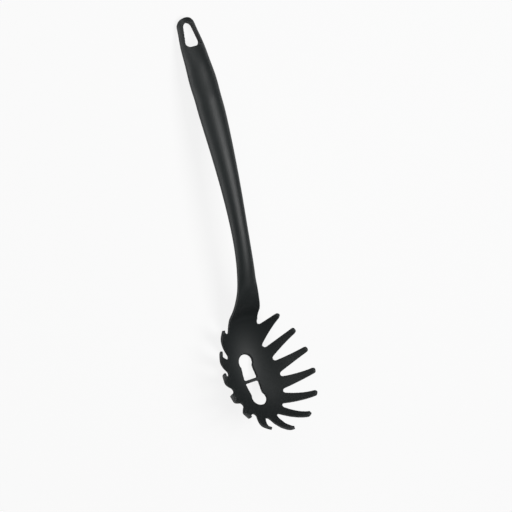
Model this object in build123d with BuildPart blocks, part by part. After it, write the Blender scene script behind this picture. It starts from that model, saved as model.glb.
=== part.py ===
from build123d import *
import math
import os

os.makedirs("parts", exist_ok=True)

# A pasta server: one nylon moulding, drawn in the frame of its mould and then laid on a table.
# In the mould's frame the rim of the basket is level, +X points away from the handle,
# and the origin is the middle of the basket's floor, on its inside. All lengths are in mm.

# Basket: an egg-shaped dish, longer toward the handle than toward the far end
basket_half_width = 36.7
basket_far_reach = 46.8
basket_near_reach = 53.6
basket_curve_height = 47.8
basket_rim_height = 35.4
floor_thickness = 2.6
rim_thickness = 1.8

# Tines: the gaps between them have round bottoms, and are cut a little past the tips
gap_bottom_radius = 2.1
gap_runout = 10.0
tine_tip_width = 4.6
tine_tip_rounding = 1.7

# Drain holes: two keyholes, one each side of a bar
bar_width = 2.3
bar_setback = 2.5
drain_round_radius = 5.9
drain_round_place = 14.7
drain_wide_width = 11.5
drain_throat_width = 9.6
drain_corner_radius = 1.2

# Stem: neck, grip and hanging loop in one sweep of sections
neck_root_inset = 9.1
neck_root_step = 4.0
neck_dish = 2.4
stem_reach = 208.4
stem_rise = 97.1
grip_half_width = 11.1
grip_upper_thickness = 7.6
grip_lower_thickness = 5.4
stem_end_radius = 8.0

# Hanging eye: a slot with its wide end, which has round corners, toward the grip
eye_half_width = 6.2
eye_corner_radius = 3.4
eye_narrow_radius = 4.2
eye_length = 18.7
eye_end_wall = 3.9

# How far a cut runs past what it cuts
overrun = 30.0

# Rounds of working out how far it tips when laid down
tilt_rounds = 12

# Where the gaps end, as shares of the basket's reach and of its half width
gap_place_shares = [
    (-0.771, 0.395),
    (-0.455, 0.471),
    (-0.227, 0.594),
    (0.028, 0.624),
    (0.308, 0.545),
    (0.540, 0.376),
    (0.680, 0.145),
]

# Bearings of the tine tips round the basket, in degrees from the far end
tine_bearings = [138.5, 117.6, 98.3, 77.7, 54.6, 29.1, 0.0]

# Stations of the stem: reach, rise, half width, upper thickness, lower thickness, dish
stem_station_shares = [
    (0.0390, 0.1450, 1.080, 0.250, 0.278, 1.00),
    (0.0572, 0.2220, 0.935, 0.342, 0.370, 0.50),
    (0.0789, 0.2840, 0.820, 0.434, 0.463, 0.16),
    (0.1034, 0.3330, 0.739, 0.513, 0.537, 0.00),
    (0.1419, 0.3930, 0.676, 0.579, 0.593, 0.00),
    (0.1948, 0.4650, 0.631, 0.632, 0.648, 0.00),
    (0.2670, 0.5455, 0.622, 0.684, 0.704, 0.00),
    (0.3630, 0.6370, 0.676, 0.776, 0.778, 0.00),
    (0.4834, 0.7350, 0.788, 0.880, 0.889, 0.00),
    (0.6037, 0.8170, 0.910, 0.960, 0.963, 0.00),
    (0.6999, 0.8740, 0.986, 1.000, 1.000, 0.00),
    (0.7720, 0.9110, 1.000, 1.000, 0.963, 0.00),
    (0.8442, 0.9440, 0.977, 0.947, 0.833, 0.00),
    (0.9090, 0.9690, 0.914, 0.830, 0.550, 0.00),
    (0.9650, 0.9880, 0.815, 0.700, 0.320, 0.00),
]

# Stations past the middle of the round end: distance, upper thickness, lower thickness
end_station_shares = [
    (0.00, 0.660, 0.240),
    (1.00, 0.460, 0.160),
    (1.40, 0.380, 0.130),
]

# Stations on the basket's own wall, as shares of the neck's first step
wall_step_shares = [0.0, 0.5, 1.0]

# Stations where the neck and the grip end, counted from the neck's root
neck_end_station = 9
grip_end_station = 16

# Section outline of the stem: its sides are arcs, and square near the basket's wall
side_radius_share = 0.62
side_edge_share = 0.85
side_fade_share = 0.10

outer_half_width = basket_half_width + rim_thickness
outer_curve_height = basket_curve_height + floor_thickness
near_stretch = basket_near_reach / basket_half_width
far_stretch = basket_far_reach / basket_half_width
moulding_depth = basket_rim_height + floor_thickness
cut_depth = basket_rim_height + 2 * overrun
neck_root_reach = basket_near_reach - neck_root_inset
up = Vector(0, 0, 1)


def tip_place(bearing):
    """Plan position where the inside of the basket reaches the level of the tips."""
    drop_share = (basket_curve_height - basket_rim_height) / basket_curve_height
    radius = basket_half_width * math.sqrt(1 - drop_share**2)
    turn = math.radians(bearing)
    x = radius * math.cos(turn)
    y = radius * math.sin(turn)
    return Vector(x * (near_stretch if x < 0 else far_stretch), y)


def gap_place(reach_share, width_share):
    """Plan position of the middle of a gap's round bottom."""
    reach = basket_near_reach if reach_share < 0 else basket_far_reach
    return Vector(reach_share * reach, width_share * basket_half_width)


tips = [tip_place(bearing) for bearing in tine_bearings]
gaps = [gap_place(*shares) for shares in gap_place_shares]
gaps.append(Vector(gaps[-1].X, -gaps[-1].Y))


def tine_side(index, ahead):
    """One side of a tine: where it leaves the gap's round bottom, and its corner at the tip."""
    gap = gaps[index + ahead]
    along = (tips[index] - (gaps[index] + gaps[index + 1]) / 2).normalized()
    across = Vector(along.Y, -along.X) * (tine_tip_width / 2)
    corner = tips[index] + across * (1 if ahead else -1)
    reach = corner - gap
    lean = math.degrees(math.acos(gap_bottom_radius / reach.length))
    start = gap + reach.normalized().rotate(Axis.Z, lean if ahead else -lean) * gap_bottom_radius
    return start, corner


def gap_sides(index):
    """Both sides of a gap; the first gap has the neck on one side."""
    if index:
        behind = tine_side(index - 1, True)
    else:
        touch = gaps[0] - Vector(0, gap_bottom_radius)
        behind = (touch, touch - Vector(basket_near_reach, 0))
    return behind, tine_side(index, False)


def gap_direction(index):
    """The way that a gap opens."""
    behind, ahead = gap_sides(index)
    return ((behind[1] - behind[0]).normalized() + (ahead[1] - ahead[0]).normalized()).normalized()


# Prisms that cut the gaps between the tines, all round the basket
with BuildPart() as gap_cuts:
    with BuildSketch(Plane.XY.offset(-overrun)):
        for index in range(len(tips)):
            behind, ahead = gap_sides(index)
            behind_end = behind[1] + (behind[1] - behind[0]).normalized() * gap_runout
            ahead_end = ahead[1] + (ahead[1] - ahead[0]).normalized() * gap_runout
            with BuildLine():
                Line(behind[0], behind_end)
                Line(behind_end, ahead_end)
                Line(ahead_end, ahead[0])
                bottom = gaps[index] - gap_direction(index) * gap_bottom_radius
                ThreePointArc(ahead[0], bottom, behind[0])
            make_face()
        mirror(about=Plane.XZ)
    extrude(amount=cut_depth)

# Prisms that round the corners of the tine tips
with BuildPart() as tip_cuts:
    for index in range(len(tips)):
        for ahead in (False, True):
            start, corner = tine_side(index, ahead)
            along = (corner - start).normalized()
            inward = Vector(along.Y, -along.X) * (-1 if ahead else 1)
            level_corner = Vector(corner.X, corner.Y, basket_rim_height)
            with BuildSketch(Plane(level_corner, x_dir=inward, z_dir=inward.cross(up))):
                with BuildLine():
                    Polyline(
                        (0, -tine_tip_rounding),
                        (-tine_tip_rounding, -tine_tip_rounding),
                        (-tine_tip_rounding, tine_tip_rounding),
                        (tine_tip_rounding, tine_tip_rounding),
                        (tine_tip_rounding, 0),
                    )
                    RadiusArc((tine_tip_rounding, 0), (0, -tine_tip_rounding), -tine_tip_rounding)
                make_face()
            extrude(amount=2 * tine_tip_width, both=True)
    mirror(about=Plane.XZ)

# Prisms that cut the two keyholes in the floor
drain_throat_place = drain_round_place - math.sqrt(drain_round_radius**2 - (drain_throat_width / 2) ** 2)
with BuildPart() as drain_cuts:
    with BuildSketch(Plane.XY.offset(-overrun)):
        with BuildLine():
            Polyline(
                (bar_width / 2, 0),
                (bar_width / 2, drain_wide_width / 2),
                (drain_throat_place, drain_throat_width / 2),
                (drain_round_place, drain_throat_width / 2),
                (drain_round_place, 0),
                close=True,
            )
        make_face()
        mirror(about=Plane.XZ)
        with Locations((drain_round_place, 0)):
            Circle(drain_round_radius)
    extrude(amount=cut_depth)
    wide_corners = drain_cuts.edges().filter_by(Axis.Z).group_by(Axis.X)[0]
    fillet(wide_corners, drain_corner_radius)
    mirror(about=Plane.YZ)

# Half of the basket's wall as a solid of revolution
with BuildPart() as round_half:
    with BuildSketch(Plane.YZ):
        with Locations((0, basket_curve_height)):
            Ellipse(outer_half_width, outer_curve_height)
            Ellipse(basket_half_width, basket_curve_height, mode=Mode.SUBTRACT)
        with Locations((0, -floor_thickness)):
            Rectangle(outer_half_width, moulding_depth, align=(Align.MIN, Align.MIN), mode=Mode.INTERSECT)
    revolve(axis=Axis.Z, revolution_arc=-180)


def stretched_half(stretch):
    """Half of the basket, stretched to its reach and cut by the gaps and the drain holes."""
    with BuildPart() as half:
        add(scale(round_half.part, by=(stretch, 1, 1), mode=Mode.PRIVATE))
        add(gap_cuts.part, mode=Mode.SUBTRACT)
        with Locations((-bar_setback, 0, 0)):
            add(drain_cuts.part, mode=Mode.SUBTRACT)
    return half.part


def wall_plane(reach):
    """A plane square to the inside of the near wall, on the middle line of the basket."""
    level_share = math.sqrt(1 - (reach / basket_near_reach) ** 2)
    foot = Vector(-reach, 0, basket_curve_height * (1 - level_share))
    slope = basket_curve_height * reach / (basket_near_reach**2 * level_share)
    return Plane(foot, x_dir=(0, -1, 0), z_dir=(-1, 0, slope))


def wall_crossing(plane, extra_width, extra_height, y):
    """How far along the plane's normal to the wall one face of the wall lies, y to the side."""
    half_width = basket_half_width + extra_width
    reach = half_width * near_stretch
    height = basket_curve_height + extra_height
    level = plane.origin.Z - basket_curve_height
    square = (plane.y_dir.X / reach) ** 2 + (plane.y_dir.Z / height) ** 2
    half_linear = plane.origin.X * plane.y_dir.X / reach**2 + level * plane.y_dir.Z / height**2
    rest = (plane.origin.X / reach) ** 2 + (y / half_width) ** 2 + (level / height) ** 2 - 1
    return (-half_linear - math.sqrt(half_linear**2 - square * rest)) / square


neck_steps = [wall_plane(neck_root_reach + neck_root_step * share) for share in wall_step_shares]
neck_root = neck_steps[0]

# The basket with its tines, cut off square where the neck begins
with BuildPart() as basket_form:
    add(stretched_half(far_stretch))
    add(stretched_half(-near_stretch))
    with BuildSketch(neck_root):
        Rectangle(2 * gaps[0].Y, 2 * overrun)
    extrude(amount=overrun, mode=Mode.SUBTRACT)
    add(tip_cuts.part, mode=Mode.SUBTRACT)


def oval_corner(half_width, thickness, side_radius):
    """Where the side arc of an oval runs smoothly into the flat arc of its top or bottom."""
    flat_radius = half_width**2 + thickness**2 - 2 * half_width * side_radius
    flat_radius = flat_radius / (2 * (thickness - side_radius))
    reach_share = flat_radius / (flat_radius - side_radius)
    x = (half_width - side_radius) * reach_share
    return x, thickness - flat_radius + (flat_radius - thickness) * reach_share


def mirrored(point):
    """The same point of a section, on its other side."""
    return -point[0], point[1]


def wall_section(plane):
    """The stem's section while it still is the basket's own wall, which ends square."""
    half_width = gaps[0].Y - gap_bottom_radius
    upper = (half_width, wall_crossing(plane, 0, 0, half_width))
    lower = (half_width, wall_crossing(plane, rim_thickness, floor_thickness, half_width))
    top = wall_crossing(plane, 0, 0, 0)
    bottom = wall_crossing(plane, rim_thickness, floor_thickness, 0)
    return plane, upper, (0, top), lower, (0, bottom), None


def free_section(foot, direction, half_width, upper_thickness, lower_thickness, dish, fade):
    """A section of the stem on its own path; its sides go from square to round with the fade."""
    plane = Plane(foot, x_dir=(0, -1, 0), z_dir=direction)
    side_radius = side_radius_share * min(upper_thickness, lower_thickness)
    corners = []
    for thickness in (upper_thickness, lower_thickness):
        x, z = oval_corner(half_width, thickness, side_radius)
        square_z = side_edge_share * thickness
        corners.append((half_width + (x - half_width) * fade, square_z + (z - square_z) * fade))
    upper = (corners[0][0], dish + corners[0][1])
    lower = (corners[1][0], dish - corners[1][1])
    return plane, upper, (0, upper_thickness), lower, (0, -lower_thickness), (half_width, dish)


# Path of the stem, and its sections from the basket to the hanging loop
stem_start = neck_root.origin
stem_feet = [
    stem_start + Vector(-stem_reach * shares[0], 0, stem_rise * shares[1]) for shares in stem_station_shares
]
end_centre = stem_start + Vector(-stem_reach, 0, stem_rise)
end_direction = (end_centre - stem_feet[-1]).normalized()
path = [neck_steps[-1].origin - neck_steps[-1].y_dir * (floor_thickness / 2), *stem_feet, end_centre]

sections = [wall_section(plane) for plane in neck_steps]
for index, shares in enumerate(stem_station_shares):
    sections.append(
        free_section(
            stem_feet[index],
            path[index + 2] - path[index],
            grip_half_width * shares[2],
            grip_upper_thickness * shares[3],
            grip_lower_thickness * shares[4],
            neck_dish * shares[5],
            min(1, shares[0] / side_fade_share),
        )
    )
for shares in end_station_shares:
    sections.append(
        free_section(
            end_centre + end_direction * (stem_end_radius * shares[0]),
            end_direction,
            stem_end_radius,
            grip_upper_thickness * shares[1],
            grip_lower_thickness * shares[2],
            0,
            1,
        )
    )

# The stem, from the basket to the hanging end, which is round in plan and has the eye cut through it
with BuildPart() as stem_form:
    for plane, upper, top, lower, bottom, side in sections:
        with BuildSketch(plane):
            with BuildLine():
                ThreePointArc(mirrored(upper), top, upper)
                if side:
                    ThreePointArc(upper, side, lower)
                    ThreePointArc(mirrored(lower), mirrored(side), mirrored(upper))
                else:
                    Line(upper, lower)
                    Line(mirrored(lower), mirrored(upper))
                ThreePointArc(lower, bottom, mirrored(lower))
            make_face()
    loft()
    eye_plane = Plane(end_centre, x_dir=end_direction, z_dir=(end_direction.Z, 0, -end_direction.X))
    eye_tip = stem_end_radius - eye_end_wall
    with BuildSketch(eye_plane):
        Rectangle(overrun, 2 * overrun, align=(Align.MIN, Align.CENTER))
        Circle(stem_end_radius, mode=Mode.SUBTRACT)
    extrude(amount=overrun, both=True, mode=Mode.SUBTRACT)
    with BuildSketch(eye_plane):
        with Locations((eye_tip - eye_narrow_radius, 0)):
            Circle(eye_narrow_radius)
        eye_corner_place = eye_tip - eye_length + eye_corner_radius
        eye_corner_side = eye_half_width - eye_corner_radius
        with Locations((eye_corner_place, eye_corner_side), (eye_corner_place, -eye_corner_side)):
            Circle(eye_corner_radius)
        make_hull()
    extrude(amount=overrun, both=True, mode=Mode.SUBTRACT)


def sector(index):
    """Prism that takes in one tine, from the middle of one gap to the middle of the next."""
    before = gap_direction(index)
    after = gap_direction(index + 1) if index + 1 < len(tips) else Vector(before.X, -before.Y)
    with BuildPart() as prism:
        with BuildSketch(Plane.XY.offset(-overrun)):
            with BuildLine():
                Polyline(
                    gaps[index],
                    gaps[index] + before * 2 * overrun,
                    gaps[index + 1] + after * 2 * overrun,
                    gaps[index + 1],
                    close=True,
                )
            make_face()
        extrude(amount=cut_depth)
    return prism.part


# One prism for each tine, round the basket from one side of the neck to the other
sectors = [sector(index) for index in range(len(tips))]
sectors += [mirror(prism, Plane.XZ, mode=Mode.PRIVATE) for prism in sectors[-2::-1]]

# Undersides of the sections near the hanging end
undersides = [section[0].from_local_coords(section[4]) for section in sections[grip_end_station:-1]]


def rest_levels(tilt):
    """Lowest levels of the basket and of the hanging end, when the basket is tipped up."""
    across = outer_half_width * near_stretch * math.sin(tilt)
    down = outer_curve_height * math.cos(tilt)
    basket_level = basket_curve_height * math.cos(tilt) - math.hypot(across, down)
    end_level = min(point.X * math.sin(tilt) + point.Z * math.cos(tilt) for point in undersides)
    return basket_level, end_level


# Laid on a table, it rests on the underside of the basket and on the hanging end
tilt = 0
for _ in range(tilt_rounds):
    basket_level, end_level = rest_levels(tilt)
    tilt += (end_level - basket_level) / stem_reach
tipped = Rotation(0, -math.degrees(tilt), 0)
box = Compound(children=[tipped * basket_form.part, tipped * stem_form.part]).bounding_box()
lay_down = Location((-(box.min.X + box.max.X) / 2, 0, -box.min.Z)) * tipped


def write_piece(piece, name):
    """Lay a piece of the moulding on the table and write it out."""
    laid = lay_down * piece
    laid.label = name
    export_step(laid, f"parts/{name}.step")


# The bowl, which the tines, the neck and the drain holes leave
with BuildPart() as bowl:
    add(basket_form.part)
    for prism in sectors:
        add(prism, mode=Mode.SUBTRACT)
write_piece(bowl.part, "bowl")

# The tines, face to face with the bowl
for number, prism in enumerate(sectors, start=1):
    with BuildPart() as tine:
        add(basket_form.part)
        add(prism, mode=Mode.INTERSECT)
    write_piece(tine.part, f"tine_{number:02}")

# The stem's three stretches, face to face
neck_end = sections[neck_end_station][0]
grip_end = sections[grip_end_station][0]

with BuildPart() as neck:
    add(stem_form.part)
    split(bisect_by=neck_end, keep=Keep.BOTTOM)
write_piece(neck.part, "neck")

with BuildPart() as grip:
    add(stem_form.part)
    split(bisect_by=neck_end, keep=Keep.TOP)
    split(bisect_by=grip_end, keep=Keep.BOTTOM)
write_piece(grip.part, "grip")

with BuildPart() as hanging_loop:
    add(stem_form.part)
    split(bisect_by=grip_end, keep=Keep.TOP)
write_piece(hanging_loop.part, "hanging_loop")
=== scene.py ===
import bmesh
import bpy
from mathutils import Matrix, Vector
from mathutils.kdtree import KDTree


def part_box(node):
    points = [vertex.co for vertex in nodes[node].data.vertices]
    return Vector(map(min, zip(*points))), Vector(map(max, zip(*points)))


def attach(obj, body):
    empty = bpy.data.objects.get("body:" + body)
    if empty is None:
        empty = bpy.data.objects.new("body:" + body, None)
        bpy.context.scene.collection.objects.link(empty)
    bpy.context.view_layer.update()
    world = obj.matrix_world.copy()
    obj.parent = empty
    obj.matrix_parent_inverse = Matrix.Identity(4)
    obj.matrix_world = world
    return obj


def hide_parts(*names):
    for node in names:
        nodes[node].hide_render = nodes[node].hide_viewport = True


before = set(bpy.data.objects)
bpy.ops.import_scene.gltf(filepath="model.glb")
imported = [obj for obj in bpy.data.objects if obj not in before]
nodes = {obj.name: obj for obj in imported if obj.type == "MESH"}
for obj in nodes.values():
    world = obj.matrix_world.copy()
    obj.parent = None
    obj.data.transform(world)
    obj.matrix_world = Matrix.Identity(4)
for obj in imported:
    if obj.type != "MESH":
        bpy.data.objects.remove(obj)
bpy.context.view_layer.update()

# A pasta server of one black nylon moulding, laid on a white table. All lengths are in metres.

# Camera: a long lens above the table, with the server's handle up the picture
lens_mm = 218.8
camera_right = Vector((0.16629, 0.84977, 0.50024))
camera_up = Vector((-0.95348, 0.26793, -0.13819))
camera_back = Vector((-0.25146, -0.45399, 0.85479))
aim_point = Vector((0.12971, 0.0, 0.00870))
aim_right = 0.00256
aim_up = 0.0975
aim_distance = 2.381

# Softboxes overhead, low on the camera's side and past the handle: place, size and watts
softboxes = {
    "overhead": ((0.05, 0.36, 1.2), (0.7, 0.7), 11.5),
    "low_side": ((-0.1, -1.3, 0.12), (1.6, 0.26), 8.0),
    "handle_end": ((-1.25, -0.5, 0.95), (0.8, 0.6), 6.0),
}

# Dim room, and a white table just below the server
room_grey = 0.07
table_width = 6.0
table_drop = 0.0001
table_white = 0.82
table_shade_share = 0.98
table_noise = (3, 2)

# How much of the table is pure white where the camera sees it
backdrop_share = 0.86

# Skin of the moulding: its fineness, and rounds of smoothing and swelling that wear its edges round
skin_voxel = 0.0004
skin_rounds = 4
smooth_share = 0.5
swell_share = 0.47

# More such rounds on the hanging end, on this side of the limit along X
eye_limit = -0.1295
eye_rounds = 8

# Parting of the skin: points that count as one, how far a cut reaches past its face, and its tolerance
merge_distance = 0.00001
cut_margin = 0.0015
cut_distance = 0.00000001

# Colour of the nylon: two near blacks, mixed by clouds and specks
nylon_dark = (0.0045, 0.0068, 0.0071, 1)
nylon_light = (0.0098, 0.0138, 0.0143, 1)
cloud_colour_share = 0.6
speck_colour_share = 0.4

# Where along the server the grip's moulded grain fades into the smoother bowl
bowl_finish_start = 0.045
bowl_finish_end = 0.085

# Noises on the nylon, each with its scale and detail
grain_noise = (1900, 2)
speck_noise = (900, 3)
cloud_noise = (38, 3)
smear_noise = (120, 2)

# Sheen of the nylon: its least roughness, and what the bowl and the noises add
nylon_roughness = 0.39
bowl_roughness = 0.16
cloud_roughness = 0.08
smear_roughness = 0.06
speck_roughness = 0.08
nylon_ior = 1.52

# Relief of the nylon's grain, and how much of it the bowl loses
grain_bowl_loss = 0.75
speck_relief = 0.7
speck_bowl_loss = 0.5
relief_distance = 0.00004
relief_strength = 0.8


def grey(value):
    """A grey as an opaque colour."""
    return value, value, value, 1


class Wire:
    """An output of a shader node; sums and products of wires add their Math nodes."""

    def __init__(self, finish, socket):
        self.finish = finish
        self.socket = socket

    def math(self, operation, first, second):
        return self.finish.add("ShaderNodeMath", {"operation": operation}, {0: first, 1: second})

    def __add__(self, other):
        return self.math("ADD", self, other)

    def __radd__(self, other):
        return self.math("ADD", other, self)

    def __sub__(self, other):
        return self.math("SUBTRACT", self, other)

    def __rsub__(self, other):
        return self.math("SUBTRACT", other, self)

    def __mul__(self, other):
        return self.math("MULTIPLY", self, other)

    def __rmul__(self, other):
        return self.math("MULTIPLY", other, self)


class Finish:
    """A material made of nodes."""

    def __init__(self, name):
        self.material = bpy.data.materials.new(name)
        self.material.use_nodes = True
        self.tree = self.material.node_tree
        self.tree.nodes.clear()

    def add(self, kind, settings=None, values=None, output=0):
        """Add a node, with its settings first and then the values or wires of its sockets."""
        node = self.tree.nodes.new(kind)
        for name, value in (settings or {}).items():
            setattr(node, name, value)
        for name, value in (values or {}).items():
            if isinstance(value, Wire):
                self.tree.links.new(value.socket, node.inputs[name])
            else:
                node.inputs[name].default_value = value
        return Wire(self, node.outputs[output]) if node.outputs else None

    def place(self):
        """The place on the object, which has the same coordinates as the part's frame."""
        return self.add("ShaderNodeTexCoord", output="Object")

    def noise(self, place, scale, detail):
        """Noise from 0 to 1, with its grain about one metre over the scale."""
        values = {"Vector": place, "Scale": scale, "Detail": detail}
        return self.add("ShaderNodeTexNoise", {}, values)

    def ramp(self, value, low, high):
        """0 below low and 1 above high, with a smooth step between them."""
        settings = {"interpolation_type": "SMOOTHSTEP"}
        values = {"Value": value, "From Min": low, "From Max": high}
        return self.add("ShaderNodeMapRange", settings, values)

    def mixed(self, share, first, second):
        """A colour between two others; a Mix node's colour sockets are 6 and 7, and 2 going out."""
        values = {0: share, 6: first, 7: second}
        return self.add("ShaderNodeMix", {"data_type": "RGBA"}, values, output=2)

    def show(self, surface):
        """The finished material, with this surface."""
        self.add("ShaderNodeOutputMaterial", {}, {"Surface": surface})
        return self.material


def nylon():
    """Black nylon: a fine moulded grain on the grip, a smoother bowl, and a little wear."""
    finish = Finish("black_nylon")
    place = finish.place()
    along = finish.add("ShaderNodeSeparateXYZ", {}, {"Vector": place}, output="X")
    bowl = finish.ramp(along, bowl_finish_start, bowl_finish_end)
    grain = finish.noise(place, *grain_noise)
    speck = finish.noise(place, *speck_noise)
    cloud = finish.noise(place, *cloud_noise)
    smear = finish.noise(place, *smear_noise)
    colour_share = cloud * cloud_colour_share + speck * speck_colour_share
    roughness = nylon_roughness + bowl * bowl_roughness
    roughness = roughness + cloud * cloud_roughness + smear * smear_roughness
    roughness = roughness + speck * speck_roughness * (1 - bowl)
    height = grain * (1 - bowl * grain_bowl_loss) + speck * (speck_relief - bowl * speck_bowl_loss)
    relief = finish.add(
        "ShaderNodeBump",
        {},
        {"Height": height, "Distance": relief_distance, "Strength": relief_strength},
    )
    surface = finish.add(
        "ShaderNodeBsdfPrincipled",
        {},
        {
            "Base Color": finish.mixed(colour_share, nylon_dark, nylon_light),
            "Roughness": roughness,
            "Normal": relief,
            "IOR": nylon_ior,
        },
    )
    return finish.show(surface)


def white_table():
    """A white table that the camera sees as a white background, shadow and all."""
    finish = Finish("white_table")
    cloud = finish.noise(finish.place(), *table_noise)
    shade = finish.mixed(cloud, grey(table_white), grey(table_white * table_shade_share))
    plain = finish.add("ShaderNodeBsdfDiffuse", {}, {"Color": shade})
    glow = finish.add("ShaderNodeEmission", {}, {"Color": grey(1), "Strength": 1.0})
    seen = finish.add("ShaderNodeLightPath", output="Is Camera Ray")
    values = {0: seen * backdrop_share, 1: plain, 2: glow}
    return finish.show(finish.add("ShaderNodeMixShader", {}, values))


def joined_mesh(nodes):
    """The meshes of all nodes in one, each with its doubles merged."""
    joined = bmesh.new()
    for node in nodes:
        single = bmesh.new()
        single.from_mesh(node.data)
        bmesh.ops.remove_doubles(single, verts=single.verts, dist=merge_distance)
        merged = bpy.data.meshes.new("merged")
        single.to_mesh(merged)
        single.free()
        joined.from_mesh(merged)
        bpy.data.meshes.remove(merged)
    mesh = bpy.data.meshes.new("joined")
    joined.to_mesh(mesh)
    joined.free()
    return mesh


def skin(nodes):
    """One seamless skin round all nodes, with its edges rounded as the mould leaves them."""
    solid = bpy.data.objects.new("solid", joined_mesh(nodes))
    bpy.context.scene.collection.objects.link(solid)
    remesh = solid.modifiers.new("remesh", "REMESH")
    remesh.mode = "VOXEL"
    remesh.voxel_size = skin_voxel
    shown = solid.evaluated_get(bpy.context.evaluated_depsgraph_get())
    form = bmesh.new()
    form.from_mesh(shown.to_mesh())
    bpy.data.objects.remove(solid)
    near_eye = [vert for vert in form.verts if vert.co.x < eye_limit]
    for verts, rounds in ((form.verts, skin_rounds), (near_eye, eye_rounds)):
        for factor in (smooth_share, -swell_share) * rounds:
            bmesh.ops.smooth_vert(
                form,
                verts=verts,
                factor=factor,
                use_axis_x=True,
                use_axis_y=True,
                use_axis_z=True,
            )
    return form


def meeting_face(first, second):
    """Middle, normal and reach of the flat face where two nodes meet."""
    tree = KDTree(len(second.data.vertices))
    for index, vert in enumerate(second.data.vertices):
        tree.insert(vert.co, index)
    tree.balance()
    places = [vert.co for vert in first.data.vertices]
    shared = [place for place in places if tree.find(place)[2] < merge_distance]
    start = max(shared, key=lambda point: (point - shared[0]).length)
    end = max(shared, key=lambda point: (point - start).length)
    side = max(shared, key=lambda point: (point - start).cross(end - start).length)
    normal = (end - start).cross(side - start).normalized()
    return (start + end) / 2, normal, (end - start).length / 2 + cut_margin


def part_at(form, middle, normal, reach):
    """Part the skin along a plane, near one place where two nodes meet."""
    faces = [face for face in form.faces if (face.calc_center_median() - middle).length < reach]
    edges = dict.fromkeys(edge for face in faces for edge in face.edges)
    verts = dict.fromkeys(vert for face in faces for vert in face.verts)
    cut = bmesh.ops.bisect_plane(
        form,
        geom=[*verts, *edges, *faces],
        dist=cut_distance,
        plane_co=middle,
        plane_no=normal,
    )
    seam = [item for item in cut["geom_cut"] if isinstance(item, bmesh.types.BMEdge)]
    bmesh.ops.split_edges(form, edges=seam)


def loose_parts(form):
    """The faces of each loose part of a form, always in the same order."""
    seen = set()
    for start in form.faces:
        if start in seen:
            continue
        seen.add(start)
        found = [start]
        for face in found:
            for edge in face.edges:
                for other in edge.link_faces:
                    if other not in seen:
                        seen.add(other)
                        found.append(other)
        yield found


def middle_of(points):
    """Middle of the box round some points."""
    low = Vector(map(min, *points))
    high = Vector(map(max, *points))
    return (low + high) / 2


def closed_piece(form, faces, name):
    """A loose part of the skin as a closed piece of its own."""
    copies = {}
    piece = bmesh.new()
    for face in faces:
        corners = []
        for vert in face.verts:
            if vert not in copies:
                copies[vert] = piece.verts.new(vert.co)
            corners.append(copies[vert])
        piece.faces.new(corners).smooth = True
    rims = [edge for edge in piece.edges if edge.is_boundary]
    bmesh.ops.edgeloop_fill(piece, edges=rims)
    for edge in rims:
        edge.smooth = False
    bmesh.ops.recalc_face_normals(piece, faces=piece.faces)
    mesh = bpy.data.meshes.new(name)
    piece.to_mesh(mesh)
    piece.free()
    made = bpy.data.objects.new(name, mesh)
    bpy.context.scene.collection.objects.link(made)
    return made


# The moulding: one skin over all nodes, parted where they meet
form = skin(nodes.values())
for name in nodes:
    if name.startswith("tine") or name == "neck":
        part_at(form, *meeting_face(nodes[name], nodes["bowl"]))
part_at(form, *meeting_face(nodes["neck"], nodes["grip"]))
part_at(form, *meeting_face(nodes["grip"], nodes["hanging_loop"]))

middles = {name: sum(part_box(name), Vector()) / 2 for name in nodes}
black_nylon = nylon()
for faces in loose_parts(form):
    middle = middle_of([vert.co for face in faces for vert in face.verts])
    name = min(middles, key=lambda node: (middles[node] - middle).length)
    piece = closed_piece(form, faces, f"{name}_skin")
    piece.data.materials.append(black_nylon)
    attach(piece, "root")
    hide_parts(name)

# White table
bpy.ops.mesh.primitive_plane_add(size=table_width, location=(0, 0, -table_drop))
table = bpy.context.object
table.name = "table"
table.data.materials.append(white_table())

# Softboxes, turned to the middle of the server
for name, (place, size, watts) in softboxes.items():
    softbox = bpy.data.lights.new(name, "AREA")
    softbox.shape = "RECTANGLE"
    softbox.size, softbox.size_y = size
    softbox.energy = watts
    lamp = bpy.data.objects.new(name, softbox)
    lamp.location = place
    lamp.rotation_euler = Vector(place).to_track_quat("Z", "Y").to_euler()
    bpy.context.scene.collection.objects.link(lamp)

# Dim room
room = bpy.data.worlds.new("room")
room.use_nodes = True
room.node_tree.nodes["Background"].inputs["Color"].default_value = grey(room_grey)
bpy.context.scene.world = room

# Camera
camera = bpy.data.objects.new("camera", bpy.data.cameras.new("camera"))
camera.data.lens = lens_mm
camera.data.clip_end = table_width * 2
eye = aim_point + camera_right * aim_right + camera_up * aim_up + camera_back * aim_distance
turn = Matrix((camera_right, camera_up, camera_back)).transposed().to_4x4()
camera.matrix_world = Matrix.Translation(eye) @ turn
bpy.context.scene.collection.objects.link(camera)
bpy.context.scene.camera = camera
bpy.context.scene.view_settings.view_transform = "Standard"
